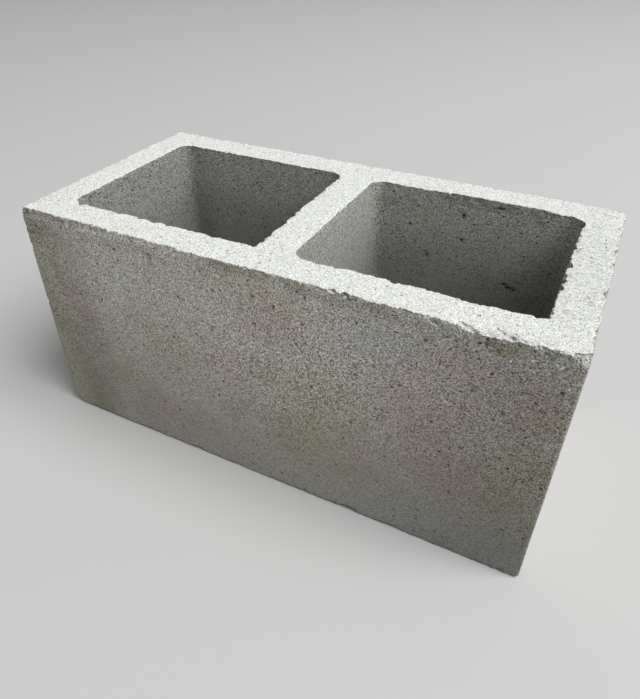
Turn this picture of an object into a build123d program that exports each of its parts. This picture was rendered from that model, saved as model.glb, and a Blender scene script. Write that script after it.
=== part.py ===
from build123d import *
import math
import os

# Hollow concrete block with two open cores, cast in one piece and standing with its cores upright.
# Sizes are in millimetres. The origin is at the centre of the bottom bed: +X runs along the length,
# +Y from the front face to the back face, and +Z up.

# Overall sizes, over the arrises
length = 390.0
width = 190.0
height = 185.0

# Wall thicknesses at the top bed
face_shell = 27.0
end_wall = 26.0
web = 28.0

# Cores: each wall leans in by the draft on its way down, so that the block strips from its mould
core_draft = 1.5
core_corner_radius = 9.0
seam_corner_radius = 2.5

# Edges as the mould leaves them
upright_radius = 1.5
bed_radius = 1.2
rim_radius = 0.8

# Worn stretches of the front top arris: place of the middle along X, half the length of the stretch,
# how far it bites back into the bed, and how far it drops down the face
front_arris_wear = [
    (-160.0, 115.0, 3.0, 6.5),
    (113.0, 9.0, 1.8, 2.4),
    (132.0, 12.0, 3.6, 3.8),
    (149.0, 16.0, 7.2, 3.0),
    (166.0, 9.0, 2.2, 1.6),
    (178.0, 7.0, 1.6, 1.8),
]

# Worn stretches of the right core's rims, given in the same way but about the core's own middle
front_rim_wear = [
    (-58.0, 12.0, 2.2, 2.4),
    (35.0, 19.0, 3.0, 3.2),
    (57.0, 13.0, 1.8, 1.8),
]
back_rim_wear = [
    (8.0, 52.0, 3.7, 8.5),
    (41.0, 24.0, 3.9, 7.0),
]

# Broken corners: how far each break runs along the length, across the width and along the height
front_top_break = (12.0, 6.5, 8.0)
back_top_break = (6.0, 7.0, 5.0)
foot_break = (12.0, 7.0, 10.0)


def core():
    """Tapered solid of one core about its own centre, from bed to bed. Three of its corners are wide, and
    the front right one, where the core box is welded, is tight."""
    along = (length - 2 * end_wall - web) / 2
    across = width - 2 * face_shell
    mouth = Rectangle(along, across)
    seam, *others = mouth.vertices().sort_by_distance((along, -across))
    mouth = fillet(others, core_corner_radius)
    seam = mouth.vertices().sort_by_distance((along, -across))[0]
    mouth = fillet(seam, seam_corner_radius)
    taper = math.degrees(math.atan(core_draft / height))
    return extrude(Pos(Z=height) * mouth, height, dir=(0, 0, -1), taper=taper)


def worn_stretch(x, arris_y, bed_side, half_length, bite, drop):
    """Cutting solid of one worn stretch of a top arris that runs along X: the part of a large ball that
    reaches the arris. The bed lies on the bed_side of it, 1 towards the back and -1 towards the front."""
    out = (half_length ** 2 - bite ** 2) / (2 * bite)
    up = (half_length ** 2 - drop ** 2) / (2 * drop)
    ball = Pos(x, arris_y - bed_side * out, height + up) * Sphere(math.hypot(half_length, out, up))
    return ball & Pos(x, arris_y, height) * Box(2 * half_length, 4 * bite, 4 * drop)


def corner_break(side_x, side_y, z, legs):
    """Cutting solid that breaks a corner of the block off, along a flat through three points on its edges."""
    corner = Vector(side_x * length / 2, side_y * width / 2, z)
    along = corner - Vector(side_x * legs[0], 0, 0)
    across = corner - Vector(0, side_y * legs[1], 0)
    upright = corner + Vector(0, 0, legs[2] if z == 0 else -legs[2])
    flat = make_face(Polyline(along, across, upright, close=True))
    outward = (corner - flat.center()).normalized()
    return extrude(flat, max(legs), dir=outward)


def beds(solid):
    """The bottom bed and the top bed of the block."""
    by_height = solid.faces().filter_by(Axis.Z).sort_by(Axis.Z)
    return by_height[0], by_height[-1]


def main():
    block = extrude(RectangleRounded(length, width, upright_radius), height)
    for bed in beds(block):
        block = fillet(bed.outer_wire().edges(), bed_radius)

    core_centre = (length / 2 - end_wall + web / 2) / 2
    for side in (-1, 1):
        block -= Pos(X=side * core_centre) * core()
    rims = [edge for bed in beds(block) for wire in bed.inner_wires() for edge in wire.edges()]
    block = fillet(rims, rim_radius)

    rim_y = width / 2 - face_shell
    for x, *sizes in front_arris_wear:
        block -= worn_stretch(x, -width / 2, 1, *sizes)
    for x, *sizes in front_rim_wear:
        block -= worn_stretch(core_centre + x, -rim_y, -1, *sizes)
    for x, *sizes in back_rim_wear:
        block -= worn_stretch(core_centre + x, rim_y, 1, *sizes)
    block -= corner_break(1, -1, height, front_top_break)
    block -= corner_break(1, 1, height, back_top_break)
    block -= corner_break(-1, -1, 0, foot_break)

    os.makedirs("parts", exist_ok=True)
    export_step(block, "parts/hollow_block.step")


main()
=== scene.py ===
"""Looks of the hollow concrete block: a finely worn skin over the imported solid, and a studio round it."""
import math
from types import SimpleNamespace

import bpy
import numpy as np
from mathutils import Matrix, Vector


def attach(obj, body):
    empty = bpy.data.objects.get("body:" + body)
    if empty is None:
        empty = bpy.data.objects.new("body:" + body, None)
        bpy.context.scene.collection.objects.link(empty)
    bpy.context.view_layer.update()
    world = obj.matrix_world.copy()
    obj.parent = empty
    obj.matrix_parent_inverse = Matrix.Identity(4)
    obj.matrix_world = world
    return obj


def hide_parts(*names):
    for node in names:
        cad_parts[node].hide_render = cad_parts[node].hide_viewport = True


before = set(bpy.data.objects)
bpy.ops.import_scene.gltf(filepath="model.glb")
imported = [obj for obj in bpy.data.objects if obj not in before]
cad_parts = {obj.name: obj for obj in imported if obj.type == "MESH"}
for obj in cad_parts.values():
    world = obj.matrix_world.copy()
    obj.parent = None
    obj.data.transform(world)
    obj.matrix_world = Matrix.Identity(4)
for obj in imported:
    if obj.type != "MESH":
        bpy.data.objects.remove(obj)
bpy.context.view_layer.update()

# Blender works in metres. The skin and its concrete are worked out in millimetres
MM_PER_M = 1000

# The block's own sizes, as in the part's source
LENGTH, WIDTH, HEIGHT = 390.0, 190.0, 185.0
FACE_SHELL, END_WALL, WEB = 27.0, 26.0, 28.0
CORE_DRAFT, CORE_CORNER, SEAM_CORNER = 1.5, 9.0, 2.5
CORE_CENTRE = (LENGTH / 2 - END_WALL + WEB / 2) / 2
CORE_HALF_X = CORE_CENTRE - WEB / 2
CORE_HALF_Y = WIDTH / 2 - FACE_SHELL
CORE_END = LENGTH / 2 - END_WALL

# Fineness of the skin: its cell, and the triangles that it keeps. They stay closest within these reaches of
# the arrises and top rims, which have this weight and strength in the modifier that takes the others away
VOXEL = 0.75
MOST_TRIANGLES = 196000
EDGE_REACH, TOP_REACH, FOOT_REACH = 3.0, 4.0, 3.5
EDGE_WEIGHT, EDGE_STRENGTH = 0.7, 0.0001

# How squarely a core wall faces a side where its rim begins to count as on it, and where it fully does
FACING = (0.5, 0.9)

# Cracks and scratches of the top bed: depth, then point by point along X and Y
CRACKS = [
    (1.0, [(144.3, -87.2), (151.7, -91.1), (157.2, -93.1), (163.6, -94.0)]),
    (0.9, [(136.0, -94.2), (138.6, -93.4), (139.7, -92.0)]),
    (0.8, [(140.6, -93.6), (142.4, -94.4)]),
    (0.8, [(150.2, -93.2), (154.6, -94.4)]),
    (0.7, [(128.4, -91.4), (130.6, -92.6)]),
    (0.6, [(165.0, -92.0), (169.4, -92.4)]),
    (0.9, [(180.0, -94.4), (186.9, -93.5), (191.0, -91.6), (195.0, -89.6)]),
    (0.6, [(186.5, -90.4), (191.5, -89.0)]),
    (0.5, [(173.8, -55.9), (176.7, -55.3), (179.4, -55.1)]),
    (0.5, [(176.2, 4.3), (179.2, 5.0)]),
    (0.4, [(46.4, -79.4), (47.5, -75.6), (48.7, -71.7)]),
    (0.5, [(178.6, 30.2), (183.4, 30.7), (187.8, 31.8)]),
]

# Larger pits of the front face: place along X and Z, and radius
FRONT_PITS = [
    (144.5, 179.7, 1.3), (147.9, 181.2, 1.0), (129.1, 169.9, 1.0), (150.6, 174.9, 0.9),
    (156.4, 160.9, 0.8), (141.2, 162.9, 0.8), (-157.5, 177.3, 1.1), (-129.4, 154.9, 1.2),
    (-183.6, 172.8, 1.2), (-178.0, 171.6, 1.1), (-174.3, 176.3, 0.9), (-193.0, 180.5, 1.3),
    (144.0, 177.0, 1.5), (128.3, 173.9, 1.0), (122.1, 156.6, 0.9), (142.2, 166.4, 0.9),
]

# Cavities of the right core's back wall: place along X and Z, and radius along X and Z
BACK_CAVITIES = [
    (111.4, 180.2, 4.0, 0.9), (126.4, 120.8, 2.4, 1.1), (129.8, 118.7, 3.2, 1.5), (133.2, 117.5, 2.0, 0.8),
    (75.8, 183.2, 2.0, 0.8), (46.0, 154.6, 1.3, 0.9), (62.0, 131.0, 1.1, 1.0), (88.0, 150.0, 0.9, 0.9),
]
CAVITY_DEPTH = 1.8

# Stains of the front face: place along X and Z, radius along X and Z, and strength
OLIVE_STAINS = [
    (-192, 160, 52, 55, 1.0), (-192, 95, 44, 65, 1.0), (-186, 35, 56, 55, 1.0), (-120, 55, 50, 40, 0.6),
    (40, 68, 62, 60, 1.0), (60, 100, 36, 34, 0.7), (-10, 172, 90, 18, 0.5), (154, 177, 18, 9, 1.0),
    (180, 85, 34, 70, 1.0), (-75, 100, 44, 44, 0.5), (100, 40, 40, 30, 0.4),
]
PINK_STAINS = [
    (-158, 118, 24, 32, 0.9), (-150, 62, 36, 30, 0.6), (-85, 32, 56, 28, 0.8), (8, 148, 38, 30, 0.7),
    (112, 108, 58, 48, 1.0), (140, 72, 50, 40, 1.0), (178, 140, 36, 34, 1.0), (80, 60, 44, 34, 0.6),
    (-15, 95, 36, 30, 0.6), (-120, 105, 26, 22, 0.4), (128, 155, 40, 26, 0.7),
]
COOL_STAINS = [(150, 6, 100, 38, 0.8), (85, 160, 44, 20, 0.5), (-90, 150, 70, 34, 0.1)]
DIRT_STAINS = [
    (-20, 182, 19, 8, 1.0), (5, 182, 20, 8, 1.0), (28, 181.5, 19, 8, 1.0), (60, 182, 18, 7, 0.9),
    (82, 180.5, 20, 8, 1.0), (-188, 168, 18, 22, 0.6), (154, 176.5, 16, 6, 0.7), (141, 178, 8, 5, 0.5),
    (-110, 176, 40, 6, 0.4), (15, 142, 46, 34, 0.16), (160, 150, 46, 36, 0.18),
]
DIRT_STRENGTH = 0.68

# Part of the front face whose grain is stronger, given in the same way
STRONG_GRAIN = [(15, 105, 90, 60, 0.35)]

# Pale crumbs stuck to the front face: place along X and Z, and radius
CRUMBS = [
    (183.1, 175.2, 1.3), (180.6, 175.9, 0.8), (128.6, 130.3, 1.0), (126.6, 131.6, 0.7), (130.4, 128.6, 0.7),
    (127.2, 128.7, 0.6), (158.0, 170.5, 0.8), (162.5, 172.2, 0.7), (189.2, 163.5, 0.7), (168.8, 174.6, 0.8),
]

# Colours of the outer faces and their stains, and the two hues that mottle them
FACE_GREY = (0.515, 0.50, 0.46, 1)
OLIVE = (0.445, 0.43, 0.335, 1)
PINK = (0.485, 0.415, 0.375, 1)
COOL = (0.47, 0.475, 0.46, 1)
DIRT = (0.25, 0.245, 0.19, 1)
GREENISH, ROSY = (0.978, 1.006, 0.972, 1), (1.022, 0.991, 1.008, 1)

# Colours of the core walls (darker than the faces: painted shade), the top bed (pale: painted light from
# above), the bottom bed and fresh grit
CORE_SHADED_GREY, CORE_SHADED_BROWN = (0.385, 0.395, 0.365, 1), (0.375, 0.355, 0.315, 1)
BED_LIT_PALE, BED_LIT_PALER = (0.825, 0.84, 0.80, 1), (0.855, 0.87, 0.83, 1)
UNDERSIDE = (0.50, 0.50, 0.46, 1)
FRESH_GRIT = (0.66, 0.66, 0.62, 1)

# Grain: how far apart its sand, voids, larger holes and flecks lie, their usual radius, and the share of the
# places that hold one. Then the darkest tone that it may reach, and the concrete's specular level
SAND_SIZE = 0.55
VOID_SIZE, VOID_RADIUS = 1.3, 0.45
HOLE_SIZE, HOLE_RADIUS, HOLE_SHARE = 5.0, 1.1, 0.42
FLECK_SIZE, FLECK_RADIUS, FLECK_SHARE = 5.0, 0.7, 0.30
DARKEST_GRAIN = 0.12
SHINE = 0.25

# Studio, in metres: the floor, the light all round, the colour that the camera sees beyond the floor, and
# the key lamp, which shines from the right and above. White that faces it renders at its level
FLOOR_SIZE, FLOOR_PAINT = 60, (0.60, 0.60, 0.60, 1)
FILL_COLOUR, FILL_STRENGTH = (1, 1, 1, 1), 0.30
BACKDROP = (0.63, 0.63, 0.63, 1)
KEY_DIRECTION, KEY_DISTANCE, KEY_SIZE, KEY_LEVEL = (0.58, -0.05, 0.81), 6.0, 4.5, 1.05
KEY_AIM = (0, 0, 0.1)

# Camera, fitted to the block's straight edges in the photograph, which a crop has left slightly off the
# middle of its lens. Lens and sensor are in millimetres, and the camera's place is in metres
SENSOR_HEIGHT, FOCAL_LENGTH = 36, 31.929
SHIFT_X, SHIFT_Y = 0.0205, -0.0091
CAMERA_PLACE = (0.18154, -0.36876, 0.37161)
CAMERA_RIGHT = (0.88688, 0.46197, -0.00533)
CAMERA_FORWARD = (-0.37365, 0.71044, -0.59637)


# Shapes and repeatable random fields, worked out for many points at once

# Large odd numbers that spread the bits of a cell's place and seed
SPREAD_X, SPREAD_Y, SPREAD_Z = 374761393, 668265263, 1103515245
SPREAD_SEED, SPREAD_AGAIN = 974711, 1274126177
BITS_32, BITS_24 = 0xFFFFFFFF, 0xFFFFFF

# Turns the grid of the fields off the block's own axes
TURN = np.array(Matrix.Rotation(0.7, 3, "X") @ Matrix.Rotation(0.4, 3, "Y") @ Matrix.Rotation(1.1, 3, "Z"))


def ramp(value, low, high):
    """0 below low, 1 above high, and smooth between them."""
    t = np.clip((value - low) / (high - low), 0, 1)
    return t * t * (3 - 2 * t)


def dome(radius, gap):
    """Depth of the round hollow that a ball of this radius leaves, at this gap from its middle."""
    return np.sqrt(np.maximum(radius ** 2 - gap ** 2, 0))


def scatter(cells, seed):
    """Random number from 0 to 1 for each whole-number grid cell."""
    n = cells[:, 0] * SPREAD_X + cells[:, 1] * SPREAD_Y + cells[:, 2] * SPREAD_Z + seed * SPREAD_SEED
    n &= BITS_32
    n = ((n ^ (n >> 13)) * SPREAD_AGAIN) & BITS_32
    n = ((n ^ (n >> 15)) * SPREAD_Y) & BITS_32
    return ((n ^ (n >> 16)) & BITS_24) / float(BITS_24)


def field(points, size, seed):
    """Smooth random field from -1 to 1, whose lumps are about size across."""
    spot = points @ TURN / size
    cell = np.floor(spot).astype(np.int64)
    part = spot - cell
    part = part * part * (3 - 2 * part)
    total = np.zeros(len(points))
    for corner in np.ndindex(2, 2, 2):
        weight = np.prod(np.where(np.array(corner) == 1, part, 1 - part), axis=1)
        total += weight * scatter(cell + corner, seed)
    return 2 * total - 1


def rough(points, size, seed, octaves=3, fall=0.55):
    """Sum of finer and finer fields, about -1 to 1."""
    total = np.zeros(len(points))
    strength = 1.0
    for octave in range(octaves):
        total += strength * field(points, size / 2 ** octave, seed + 31 * octave)
        strength *= fall
    return total


def bubbles(points, cell_size, seed, share, smallest, largest):
    """How far each point lies inside a round void. A share of the cells hold one, and most are small."""
    spot = points / cell_size
    first = np.floor(spot - 0.5).astype(np.int64)
    deepest = np.zeros(len(points))
    for corner in np.ndindex(2, 2, 2):
        cell = first + corner
        centre = cell + 0.5 + 0.8 * (np.stack([scatter(cell, seed + k) for k in (1, 2, 3)], axis=1) - 0.5)
        radius = smallest + (largest - smallest) * scatter(cell, seed + 4) ** 3
        radius = np.where(scatter(cell, seed + 5) < share, radius, 0)
        gap = cell_size * np.linalg.norm(spot - centre, axis=1)
        deepest = np.maximum(deepest, dome(radius, gap))
    return deepest


# Where a point lies in the block

def core_wall(points):
    """Distance from the nearest core wall, positive in the concrete, and the level direction from it."""
    inset = CORE_DRAFT * (HEIGHT - points[:, 2]) / HEIGHT
    x = points[:, 0] - np.sign(points[:, 0]) * CORE_CENTRE
    y = points[:, 1]
    corner = np.where((x > 0) & (y < 0), SEAM_CORNER, CORE_CORNER) - inset
    out_x = np.abs(x) - (CORE_HALF_X - inset) + corner
    out_y = np.abs(y) - (CORE_HALF_Y - inset) + corner
    in_corner = (out_x > 0) & (out_y > 0)
    reach = np.hypot(np.maximum(out_x, 0), np.maximum(out_y, 0))
    distance = reach + np.minimum(np.maximum(out_x, out_y), 0) - corner
    safe = np.maximum(reach, 1e-6)
    away_x = np.where(in_corner, out_x / safe, (out_x > out_y) * 1.0) * np.sign(x)
    away_y = np.where(in_corner, out_y / safe, (out_x <= out_y) * 1.0) * np.sign(y)
    return distance, np.stack([away_x, away_y, np.zeros(len(points))], axis=1)


def outer_walls(points):
    """For each of the four outer walls, the distance from it and the level direction into the concrete."""
    x, y = points[:, 0], points[:, 1]
    walls = {"front": (y + WIDTH / 2, (0, 1, 0)), "back": (WIDTH / 2 - y, (0, -1, 0)),
             "left": (x + LENGTH / 2, (1, 0, 0)), "right": (LENGTH / 2 - x, (-1, 0, 0))}
    return {name: (gap, np.array(inward, float)) for name, (gap, inward) in walls.items()}


def depth_below(points):
    """How far each point lies under the nearest moulded surface."""
    core_gap, _ = core_wall(points)
    gaps = [core_gap, points[:, 2], HEIGHT - points[:, 2]]
    gaps += [gap for gap, _ in outer_walls(points).values()]
    return np.maximum(np.min(gaps, axis=0), 0)


def near_edge(points):
    """Whether each point lies by an arris or a top rim."""
    core_gap, _ = core_wall(points)
    walls = {name: gap for name, (gap, _) in outer_walls(points).items()}
    ends = np.minimum(walls["left"], walls["right"])
    faces = np.minimum(walls["front"], walls["back"])
    outer = np.minimum(ends, faces)
    top = (HEIGHT - points[:, 2] < TOP_REACH) & (np.minimum(outer, core_gap) < EDGE_REACH)
    foot = (points[:, 2] < FOOT_REACH) & (outer < FOOT_REACH)
    upright = (ends < EDGE_REACH) & (faces < EDGE_REACH)
    return top | foot | upright


# The wear of the skin

def chip(points, gap_a, inward_a, gap_b, inward_b, size, steep):
    """Knocks an arris off where two surfaces meet. The chip bites size into the first surface, and reaches
    steep times as far down the second."""
    slope = 1 / steep
    over = np.maximum(size - np.maximum(gap_b, 0) - slope * np.maximum(gap_a, 0), 0) / (1 + slope ** 2)
    return points + over[:, None] * inward_b + (over * slope)[:, None] * inward_a


def chip_top(points, gap, inward, size, steep):
    """Knocks off the arris or rim where a wall meets the top bed."""
    return chip(points, HEIGHT - points[:, 2], np.array([0, 0, -1.0]), gap, inward, size, steep)


def chip_foot(points, gap, inward, size, steep):
    """Knocks off the arris or rim where a wall meets the bottom bed."""
    return chip(points, points[:, 2], np.array([0, 0, 1.0]), gap, inward, size, steep)


def wear(points):
    """Crumbles the arrises and rims unevenly: most on the front rims, least on the left core's back rim."""
    x, y = points[:, 0], points[:, 1]
    crumbs = np.abs(rough(points, size=9, seed=100, octaves=2, fall=0.7))
    grit = rough(points, size=2.2, seed=200, octaves=2)
    steep = 2.2 + 1.8 * field(points, size=5, seed=350)
    core_gap, core_away = core_wall(points)
    left_rim, right_rim = ramp(-core_away[:, 0], *FACING), ramp(core_away[:, 0], *FACING)
    front_rim = ramp(-core_away[:, 1], *FACING) * (0.4 + 0.6 * ramp(x, 0, 60))
    back_rim = ramp(core_away[:, 1], 0.3, 0.8)
    nick = bubbles(points, cell_size=10, seed=300, share=0.5, smallest=1.0, largest=4.5) * (1 - back_rim)

    # Rims. The left core's right rim has crumbled more towards the front
    openness = 0.8 + 0.5 * ramp(x, 40, 150) + 0.6 * right_rim + 1.5 * front_rim - 0.45 * left_rim
    openness *= 1 - 0.6 * back_rim * ramp(-x, 0, 10)
    size = 0.3 + openness * (1.5 * crumbs + 0.55 * grit + 0.4 * nick) - 0.7 * front_rim
    size += 1.2 * right_rim * (x < 0) * ramp(-y, -5, 40)
    size = np.maximum(size, 0.1)
    points = chip_top(points, core_gap, core_away, size, steep)
    points = chip_foot(points, core_gap, core_away, 0.8 * size, steep)

    # Arrises. The top one is more open at the right end and along the right of the front face
    high = ramp(points[:, 2], 150, 180)
    openness = 0.9 + 0.2 * ramp(x, 188, 194) * high + 0.5 * ramp(x, 85, 110) * high * (y < -WIDTH / 2 + 5)
    size = 0.4 + openness * (1.3 * crumbs + 0.6 * grit + 0.5 * nick)
    ragged = np.maximum(rough(points, size=5, seed=360, octaves=2, fall=0.7) - 0.1, 0)
    foot = 0.4 + 1.2 * crumbs + 1.8 * np.abs(field(points, size=2.6, seed=370)) + 3.0 * ragged
    for gap, inward in outer_walls(points).values():
        points = chip_top(points, gap, inward, size, steep)
        points = chip_foot(points, gap, inward, foot, steep=1.1)
    for end in ("left", "right"):
        for face in ("front", "back"):
            walls = outer_walls(points)
            points = chip(points, *walls[end], *walls[face], size, steep=1.0)
    return points


def groove(points):
    """Depth of the cracks and scratches of the top bed. One starts a flake off the front arris."""
    deepest = np.zeros(len(points))
    uneven = 0.3 * field(points, size=2.5, seed=900)
    for depth, line in CRACKS:
        for start, end in zip(np.array(line), np.array(line[1:])):
            run = end - start
            along = (points[:, :2] - start) @ run / (run @ run)
            nearest = start + np.clip(along, 0, 1)[:, None] * run
            gap = np.linalg.norm(points[:, :2] - nearest, axis=1) + uneven
            deepest = np.maximum(deepest, depth * (1 - ramp(gap, 0.1, 0.55)))
    return deepest * ramp(points[:, 2], HEIGHT - 5, HEIGHT - 2)


def pits(points):
    """How deep the open voids of the surface are."""
    deepest = 0.7 * bubbles(points, cell_size=12, seed=600, share=0.35, smallest=0.5, largest=1.8)
    for x, z, radius in FRONT_PITS:
        gap = np.linalg.norm(points - (x, -WIDTH / 2, z), axis=1)
        deepest = np.maximum(deepest, dome(radius, gap))
    uneven = 0.35 * field(points, size=2.5, seed=650)
    y = points[:, 1]
    back_wall = ramp(y, CORE_HALF_Y - 8, CORE_HALF_Y - 4) * (1 - ramp(y, CORE_HALF_Y + 4, CORE_HALF_Y + 6))
    for x, z, wide, high in BACK_CAVITIES:
        gap = np.hypot((points[:, 0] - x) / wide, (points[:, 2] - z) / high) + uneven
        deepest = np.maximum(deepest, CAVITY_DEPTH * back_wall * np.sqrt(np.maximum(1 - gap, 0)))
    return deepest


def facing_up(normals):
    """1 where the surface faces up, as the top bed does."""
    return ramp(normals[:, 2], 0.5, 0.8)


def relief(points, normals):
    """Depth of the surface under the moulded one, pits aside: grain, hollows, drag lines and cracks."""
    top = facing_up(normals)
    below = depth_below(points)
    broken = ramp(below, 0.2, 2.0)
    core_gap, _ = core_wall(points)
    outer = np.min([gap for gap, _ in outer_walls(points).values()], axis=0)
    by_edge = 1 - ramp(np.hypot(HEIGHT - points[:, 2], np.minimum(core_gap, outer)), 1.5, 6.5)
    lumps = rough(points, size=4.5, seed=550, octaves=3, fall=0.7)
    depth = 0.10 + 0.06 * rough(points, size=2.4, seed=400, octaves=2)
    depth += 0.12 + 0.10 * rough(points, size=26, seed=500, octaves=2)
    depth += broken * (0.1 + 0.5 * lumps) + by_edge * np.maximum(0.1 + 0.6 * lumps, 0)
    depth -= broken * 1.6 * np.maximum(rough(points, size=4, seed=560, octaves=2) - 0.3, 0)
    depth += top * 0.4 * bubbles(points, cell_size=8, seed=700, share=0.4, smallest=0.4, largest=1.3)

    # Drag lines run along X at the right end of the top bed
    drag = ramp(points[:, 0], 164, 172) * top * (0.35 + 0.65 * ramp(points[:, 1], -80, -55))
    lines = 0.24 + 0.20 * field(points * (0.3, 1, 1), size=1.6, seed=800)
    depth += drag * (lines + 0.24 * rough(points, size=6, seed=820, octaves=2))
    return np.maximum(depth, -below) + groove(points)


# The skin

def bake(piece):
    """Turns a piece's modifiers into its mesh."""
    bpy.context.view_layer.update()
    shaped = piece.evaluated_get(bpy.context.evaluated_depsgraph_get())
    mesh = bpy.data.meshes.new_from_object(shaped)
    piece.modifiers.clear()
    piece.data = mesh


def remeshed(cad):
    """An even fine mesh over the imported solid, in a new object."""
    skin = bpy.data.objects.new("block_skin", cad.data.copy())
    bpy.context.scene.collection.objects.link(skin)
    remesh = skin.modifiers.new("remesh", "REMESH")
    remesh.mode = "VOXEL"
    remesh.voxel_size = VOXEL / MM_PER_M
    bake(skin)
    return skin


def thin_out(skin, finest):
    """Brings the skin down to the triangles that it keeps, which are closest where it is to be finest."""
    edges = skin.vertex_groups.new(name="edges")
    edges.add(np.flatnonzero(finest).tolist(), EDGE_WEIGHT, "REPLACE")
    triangles = sum(len(face.vertices) - 2 for face in skin.data.polygons)
    decimate = skin.modifiers.new("decimate", "DECIMATE")
    decimate.ratio = MOST_TRIANGLES / triangles
    decimate.use_collapse_triangulate = True
    decimate.vertex_group = edges.name
    decimate.invert_vertex_group = True
    decimate.vertex_group_factor = EDGE_STRENGTH
    bake(skin)
    print("skin", triangles, "triangles, kept", len(skin.data.polygons))


def vectors(elements, name):
    """A vector of each of a mesh's elements, one to a row."""
    values = np.empty(len(elements) * 3)
    elements.foreach_get(name, values)
    return values.reshape(-1, 3)


def move(mesh, points):
    """Puts a mesh's points in their new places."""
    mesh.vertices.foreach_set("co", (points / MM_PER_M).ravel())
    mesh.update()


def worn_skin(cad):
    """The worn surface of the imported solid, with the depth of its pits and of its wear at each point."""
    skin = remeshed(cad)
    mesh = skin.data
    points = wear(vectors(mesh.vertices, "co") * MM_PER_M)
    move(mesh, points)
    normals = vectors(mesh.vertex_normals, "vector")
    voids = pits(points) * (1 - facing_up(normals))
    points -= (relief(points, normals) + voids)[:, None] * normals
    points = np.clip(points, (-LENGTH / 2, -WIDTH / 2, 0), (LENGTH / 2, WIDTH / 2, HEIGHT))
    move(mesh, points)
    for name, values in (("pit", voids), ("depth", depth_below(points))):
        attribute = mesh.attributes.new(name, "FLOAT", "POINT")
        attribute.data.foreach_set("value", values.astype(np.float32))
    thin_out(skin, near_edge(points))
    skin.data.polygons.foreach_set("use_smooth", [True] * len(skin.data.polygons))
    return skin


# Concrete

class Graph:
    """Short way to wire shader nodes. A value is a number or another node's socket."""

    def __init__(self, tree):
        self.tree = tree

    def node(self, kind, inputs=(), output=0, **settings):
        """A new node with its inputs linked or set, and its settings. Gives one of its outputs."""
        node = self.tree.nodes.new(kind)
        for name, value in settings.items():
            setattr(node, name, value)
        for key, value in dict(inputs).items():
            if isinstance(value, bpy.types.NodeSocket):
                self.tree.links.new(value, node.inputs[key])
            else:
                node.inputs[key].default_value = value
        return node.outputs[output]

    def math(self, operation, a, b=0.0, c=0.0):
        return self.node("ShaderNodeMath", {0: a, 1: b, 2: c}, operation=operation)

    def plus(self, a, b):
        return self.math("ADD", a, b)

    def minus(self, a, b):
        return self.math("SUBTRACT", a, b)

    def most(self, a, b):
        return self.math("MAXIMUM", a, b)

    def times(self, product, *factors):
        for factor in factors:
            product = self.math("MULTIPLY", product, factor)
        return product

    def scaled(self, value, factor, offset):
        """The value times the factor, plus the offset."""
        return self.math("MULTIPLY_ADD", value, factor, offset)

    def ramp(self, value, low, high, start=0.0, end=1.0):
        """Start where the value is low, end where it is high, and smooth between them."""
        inputs = {"Value": value, "From Min": low, "From Max": high, "To Min": start, "To Max": end}
        return self.node("ShaderNodeMapRange", inputs, interpolation_type="SMOOTHSTEP")

    def vector(self, operation, a, b=(0, 0, 0)):
        return self.node("ShaderNodeVectorMath", {0: a, 1: b}, operation=operation)

    def shifted(self, coords, by):
        """Coordinates moved along, so that a pattern that is used again differs."""
        return self.vector("ADD", coords, by)

    def noise(self, coords, size, detail=2.0, rough=0.5):
        inputs = {"Vector": coords, "Scale": 1 / size, "Detail": detail, "Roughness": rough}
        return self.node("ShaderNodeTexNoise", inputs)

    def cells(self, coords, size):
        """Distance from the middle of the nearest cell, in cells, and the cell's own random colour."""
        distance = self.node("ShaderNodeTexVoronoi", {"Vector": coords, "Scale": 1 / size})
        colour = distance.node.outputs["Color"]
        return distance, self.node("ShaderNodeSeparateColor", {0: colour}).node.outputs

    def mix(self, factor, a, b, blend="MIX"):
        """Mix of two colours. They and their mix have these numbers among the node's sockets."""
        inputs = {0: factor, 6: a, 7: b}
        return self.node("ShaderNodeMix", inputs, 2, data_type="RGBA", blend_type=blend)

    def toned(self, colour, tone):
        """The colour, darker or lighter by its tone."""
        grey = self.node("ShaderNodeCombineColor", {0: tone, 1: tone, 2: tone})
        return self.mix(1.0, colour, grey, "MULTIPLY")

    def spots(self, across, up, uneven, places):
        """Soft stains: each has its place and radius along two directions, and its strength."""
        total = 0.0
        for middle_x, middle_z, wide, high, strength in places:
            gap_x = self.math("POWER", self.times(self.minus(across, middle_x), 1 / wide), 2.0)
            gap_z = self.math("POWER", self.times(self.minus(up, middle_z), 1 / high), 2.0)
            gap = self.math("SQRT", self.plus(gap_x, gap_z))
            total = self.most(total, self.ramp(self.plus(gap, uneven), 0.1, 1.15, start=strength, end=0.0))
        return total

    def specks(self, coords, size, radius, share):
        """Round specks of uneven size, one in a share of the cells."""
        distance, chances = self.cells(coords, size)
        held = self.math("LESS_THAN", chances[0], share)
        grown = self.scaled(chances[1], 0.6 * radius / size, 0.5 * radius / size)
        inside = self.minus(grown, distance)
        return self.times(held, self.ramp(inside, -0.1 * radius / size, 0.25 * radius / size))


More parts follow.
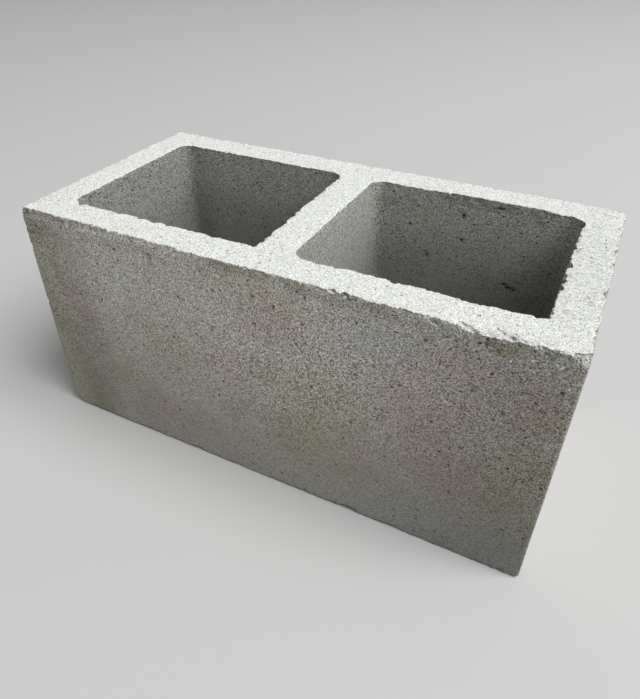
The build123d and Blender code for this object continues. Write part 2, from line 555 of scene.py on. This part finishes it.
def survey(g):
    """Where each point of the surface lies: its place, the patterns that its colours share, and masks that
    are 1 on the parts of the block that they are named after."""
    texture = g.node("ShaderNodeTexCoord", output="Object")
    place = g.vector("SCALE", texture)
    place.node.inputs["Scale"].default_value = MM_PER_M
    x, y, z = (g.node("ShaderNodeSeparateXYZ", {0: place}, axis) for axis in "XYZ")
    level = g.node("ShaderNodeSeparateXYZ", {0: texture.node.outputs["Normal"]}, "Z")
    depth = g.node("ShaderNodeAttribute", output="Fac", attribute_name="depth")
    pit = g.node("ShaderNodeAttribute", output="Fac", attribute_name="pit")
    fine = g.noise(place, size=0.5, detail=1, rough=0.6)
    medium = g.noise(place, size=3.0, detail=3, rough=0.6)
    broad = g.noise(place, size=26.0, detail=3, rough=0.55)
    patchy = g.noise(g.shifted(place, (310, 70, 20)), size=30.0)

    outside_x = g.math("GREATER_THAN", g.math("ABSOLUTE", x), CORE_END + 3)
    outside_y = g.math("GREATER_THAN", g.math("ABSOLUTE", y), CORE_HALF_Y + 4)
    outside = g.most(outside_x, outside_y)
    front = g.ramp(y, -WIDTH / 2 + 9, -WIDTH / 2 + 4)
    core_back = g.times(g.ramp(y, 45.0, 58.0), g.minus(1.0, outside))
    spalled = g.times(front, g.ramp(x, 80.0, 110.0))
    under = g.ramp(level, -0.5, -0.8)

    # The beds, where the surface faces up, are painted pale: painted light from above. They have a ragged
    # edge, and leave out what has sunk, unless it is the flaked front arris, and the back walls of the cores
    ragged = g.scaled(medium, 0.3, g.times(fine, 0.4))
    bed = g.ramp(g.plus(level, ragged), 0.95, 1.12)
    flaked = g.times(spalled, g.ramp(x, 174.0, 181.0, start=1.0, end=0.0))
    sunk = g.times(g.ramp(depth, 0.7, 1.6), g.minus(1.0, flaked))
    bed = g.times(bed, g.minus(1.0, sunk))
    bed = g.times(bed, g.scaled(core_back, g.ramp(z, HEIGHT - 2.4, HEIGHT - 1.4, start=-1.0, end=0.0), 1.0))
    return SimpleNamespace(place=place, x=x, y=y, z=z, level=level, depth=depth, pit=pit, fine=fine,
                           medium=medium, broad=broad, patchy=patchy, outside=outside, front=front,
                           core_back=core_back, spalled=spalled, under=under, bed=bed,
                           uneven=g.scaled(broad, 1.6, -0.8), wobble=g.scaled(broad, 60.0, -30.0))


def outer_colour(g, at):
    """Outer faces: grey, with olive and pinkish stains. The front face has its own, where the photograph
    shows them."""
    def front_stains(places):
        return g.spots(at.x, at.z, at.uneven, places)

    clean = g.ramp(at.depth, 0.2, 0.8, start=1.0, end=0.3)
    elsewhere = g.scaled(at.front, -0.6, 1.0)
    olive = g.times(g.ramp(at.broad, 0.46, 0.70, start=0.0, end=0.7), elsewhere)
    olive = g.most(olive, g.times(at.front, front_stains(OLIVE_STAINS)))
    pink = g.times(g.ramp(at.patchy, 0.48, 0.68, start=0.0, end=0.6), elsewhere)
    pink = g.most(pink, g.times(at.front, front_stains(PINK_STAINS)))
    colour = g.mix(g.times(clean, pink), FACE_GREY, PINK)
    colour = g.mix(g.times(clean, olive), colour, OLIVE)
    colour = g.mix(g.times(at.front, front_stains(COOL_STAINS)), colour, COOL)
    mottled = g.ramp(g.noise(g.shifted(at.place, (130, 20, 260)), size=13.0), 0.35, 0.65)
    colour = g.mix(1.0, colour, g.mix(mottled, GREENISH, ROSY), "MULTIPLY")
    return g.mix(g.times(front_stains(DIRT_STAINS), DIRT_STRENGTH, at.front), colour, DIRT)


def core_colour_and_shade(g, at):
    """Core walls: grey and brown, a darker copy of the faces' colours as painted shade of the cores' inside,
    with more painted shade further down and at the left end.
    """
    colour = g.mix(g.ramp(at.broad, 0.45, 0.70, start=0.0, end=0.6), CORE_SHADED_GREY, CORE_SHADED_BROWN)
    # Painted shade: darker further down the cores and at the left end
    down = g.ramp(at.z, 110.0, 168.0, start=0.80, end=1.14)
    left = g.ramp(at.x, -165.0, -120.0, start=0.82, end=1.0)
    return g.toned(colour, g.times(down, left))


def face_colour(g, at):
    """Upright faces. The front face has painted shade that darkens it towards its foot and both ends; worn,
    sunk places are painted darker, partly dirt and partly painted shade, and up-tilted slopes of the cores'
    back walls are painted darker as painted shade.
    """
    # Painted shade of the front face: darker towards its foot and both ends
    low = g.ramp(g.plus(at.z, at.wobble), 10.0, 165.0, start=0.69, end=1.0)
    low = g.most(low, g.ramp(at.x, -190.0, -150.0, start=0.88, end=0.60))
    right = g.ramp(g.plus(at.x, at.wobble), 30.0, 195.0, start=1.0, end=0.68)
    left = g.ramp(g.plus(at.x, g.times(at.wobble, 0.4)), -165.0, -126.0, start=0.80, end=1.0)
    painted_shade = g.scaled(g.minus(g.times(right, left, low), 1.0), at.front, 1.0)

    # Worn, sunk places are painted darker: partly dirt, partly painted shade
    darkest_dirt_and_shade = g.scaled(at.outside, 0.16, 0.52)
    worn_dirt_and_shade = g.ramp(g.scaled(at.medium, 1.2, at.depth), 0.9, 2.4, start=1.0, end=darkest_dirt_and_shade)
    # Up-tilted slopes of the cores' back walls are painted darker: painted shade against the key light that
    # they catch
    painted_shade_on_slopes = g.scaled(g.ramp(at.level, 0.03, 0.40, start=0.0, end=-0.58), at.core_back, 1.0)
    colour = g.mix(at.outside, core_colour_and_shade(g, at), outer_colour(g, at))
    return g.toned(g.toned(colour, painted_shade), g.math("MINIMUM", worn_dirt_and_shade, painted_shade_on_slopes))


def lit_bed_colour(g, at):
    """Top bed: pale as painted light from above, with drag lines at its right end that fade towards the
    corners, and a little darker towards the right end.
    """
    lines = g.noise(g.vector("MULTIPLY", at.place, (0.24, 1.0, 1.0)), size=1.3, rough=0.6)
    lines = g.times(g.minus(g.ramp(lines, 0.53, 0.67, start=1.0, end=0.66), 1.0), g.ramp(at.x, 160.0, 172.0))
    middle_end = g.ramp(g.math("ABSOLUTE", g.plus(at.y, 5.0)), 35.0, 75.0, start=1.0, end=0.40)
    tone = g.scaled(lines, middle_end, 1.0)
    tone = g.times(tone, g.ramp(at.x, -60.0, 60.0, start=1.0, end=0.975))
    tone = g.times(tone, g.scaled(g.ramp(at.x, 110.0, 195.0, start=0.0, end=-0.06), middle_end, 1.0))
    return g.toned(g.mix(g.ramp(at.medium, 0.35, 0.65), BED_LIT_PALE, BED_LIT_PALER), tone)


def fresh_grit(g, at):
    """Where fresh, pale grit shows: in the broken front arris and in the crumbs."""
    broken = g.ramp(g.scaled(at.medium, 0.8, at.depth), 1.0, 1.9, start=0.0, end=0.5)
    places = [(x, z, radius, radius, 1.0) for x, z, radius in CRUMBS]
    crumbs = g.spots(at.x, at.z, g.scaled(at.fine, 1.2, -0.9), places)
    return g.most(g.times(broken, at.spalled), g.times(at.front, crumbs))


def grain(g, at):
    """Tone of the sand grains, voids, larger holes and pale flecks, and their height in millimetres."""
    roundness, sand = g.cells(g.shifted(at.place, (7, 9, 5)), SAND_SIZE)
    patches = g.noise(g.shifted(at.place, (0, 500, 0)), size=30.0)
    void_share = g.ramp(patches, 0.35, 0.65, start=0.10, end=0.36)
    voids = g.specks(at.place, VOID_SIZE, VOID_RADIUS, void_share)
    holes = g.specks(g.shifted(at.place, (40, 0, 90)), HOLE_SIZE, HOLE_RADIUS, HOLE_SHARE)
    flecks = g.specks(g.shifted(at.place, (11, 70, 3)), FLECK_SIZE, FLECK_RADIUS, FLECK_SHARE)

    # The grain is softer deep in the cores, at the foot of the outer faces and on the beds
    in_core = g.ramp(at.z, 105.0, 175.0, start=0.55, end=1.0)
    on_face = g.ramp(g.plus(at.z, at.wobble), 20.0, 110.0, start=0.5, end=1.0)
    soft = g.mix(at.outside, in_core, on_face)
    soft = g.plus(soft, g.times(at.front, g.spots(at.x, at.z, at.uneven, STRONG_GRAIN)))
    strength = g.scaled(at.bed, -0.53, soft)

    tone = g.scaled(sand[0], 1.5, g.ramp(at.fine, 0.30, 0.70, start=-1.05, end=-0.40))
    tone = g.times(tone, strength)
    tone = g.minus(tone, g.times(voids, g.scaled(at.bed, -0.45, soft)))
    tone = g.minus(tone, g.times(strength, 0.75, holes))
    tone = g.plus(tone, g.times(strength, 0.45, flecks))
    tone = g.most(g.plus(tone, 1.0), DARKEST_GRAIN)
    # Pits are painted darker inside: partly dirt, partly painted shade
    tone = g.times(tone, g.ramp(at.pit, 0.2, 1.1, start=1.0, end=0.55))

    height = g.scaled(at.fine, 0.26, g.times(at.medium, 0.20))
    height = g.minus(height, g.times(roundness, 0.26))
    height = g.minus(height, g.times(voids, 0.40))
    height = g.minus(height, g.times(holes, 0.60))
    height = g.plus(height, g.times(sand[0], 0.20))
    return tone, height


def concrete():
    """Pressed concrete: sandy, with small open voids, painted pale on the beds as painted light from above,
    stained on the faces, and with painted shade on the faces and in the cores.
    """
    material = bpy.data.materials.new("concrete")
    material.use_nodes = True
    tree = material.node_tree
    shader = tree.nodes["Principled BSDF"]
    g = Graph(tree)
    at = survey(g)
    tone, height = grain(g, at)
    # Up-facing surfaces take the pale bed colour: painted light from above
    colour = g.mix(at.bed, face_colour(g, at), lit_bed_colour(g, at))
    colour = g.mix(at.under, colour, UNDERSIDE)
    colour = g.mix(fresh_grit(g, at), colour, FRESH_GRIT)
    tree.links.new(g.toned(colour, tone), shader.inputs["Base Color"])
    tree.links.new(g.ramp(at.medium, 0.3, 0.7, start=0.86, end=0.96), shader.inputs["Roughness"])
    shader.inputs["Specular IOR Level"].default_value = SHINE
    bump = g.node("ShaderNodeBump", {"Height": height, "Distance": 1 / MM_PER_M, "Strength": 0.9})
    tree.links.new(bump, shader.inputs["Normal"])
    return material


# Studio

def floor():
    bpy.ops.mesh.primitive_plane_add(size=FLOOR_SIZE, location=(0, 0, 0))
    plane = bpy.context.object
    plane.name = "floor"
    paint = bpy.data.materials.new("floor_paint")
    paint.use_nodes = True
    shader = paint.node_tree.nodes["Principled BSDF"]
    shader.inputs["Base Color"].default_value = FLOOR_PAINT
    shader.inputs["Roughness"].default_value = 1.0
    shader.inputs["Specular IOR Level"].default_value = 0.0
    plane.data.materials.append(paint)


def surroundings():
    """Even light all round. The camera, mirrors and glass see a pale backdrop instead."""
    world = bpy.data.worlds.new("studio")
    world.use_nodes = True
    tree = world.node_tree
    tree.nodes.clear()
    g = Graph(tree)
    rays = g.node("ShaderNodeLightPath").node.outputs
    mirrored = g.most(rays["Is Glossy Ray"], rays["Is Transmission Ray"])
    shown = g.most(rays["Is Camera Ray"], mirrored)
    lit = g.node("ShaderNodeBackground", {"Color": FILL_COLOUR, "Strength": FILL_STRENGTH})
    seen = g.node("ShaderNodeBackground", {"Color": BACKDROP})
    mix = g.node("ShaderNodeMixShader", {0: shown, 1: lit, 2: seen})
    tree.links.new(mix, tree.nodes.new("ShaderNodeOutputWorld").inputs[0])
    bpy.context.scene.world = world


def key_lamp():
    direction = Vector(KEY_DIRECTION).normalized()
    lamp = bpy.data.lights.new("key", "AREA")
    lamp.shape = "DISK"
    lamp.size = KEY_SIZE
    lamp.energy = KEY_LEVEL * math.pi ** 2 * KEY_DISTANCE ** 2
    key = bpy.data.objects.new("key", lamp)
    key.location = direction * KEY_DISTANCE + Vector(KEY_AIM)
    key.rotation_euler = direction.to_track_quat("Z", "Y").to_euler()
    bpy.context.scene.collection.objects.link(key)


def camera():
    """Camera at the photograph's place, for a frame of 640 x 699."""
    lens = bpy.data.cameras.new("camera")
    lens.sensor_fit = "VERTICAL"
    lens.sensor_height = SENSOR_HEIGHT
    lens.lens = FOCAL_LENGTH
    lens.shift_x = SHIFT_X
    lens.shift_y = SHIFT_Y
    eye = bpy.data.objects.new("camera", lens)
    forward = Vector(CAMERA_FORWARD).normalized()
    right = Vector(CAMERA_RIGHT)
    right = (right - right.dot(forward) * forward).normalized()
    up = right.cross(forward)
    turn = Matrix((right, up, -forward)).transposed().to_4x4()
    eye.matrix_world = Matrix.Translation(CAMERA_PLACE) @ turn
    bpy.context.scene.collection.objects.link(eye)
    bpy.context.scene.camera = eye
    bpy.context.scene.view_settings.view_transform = "Standard"


camera()
floor()
surroundings()
key_lamp()
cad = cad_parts["hollow_block"]
skin = worn_skin(cad)
skin.data.materials.clear()
skin.data.materials.append(concrete())
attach(skin, "root")
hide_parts("hollow_block")
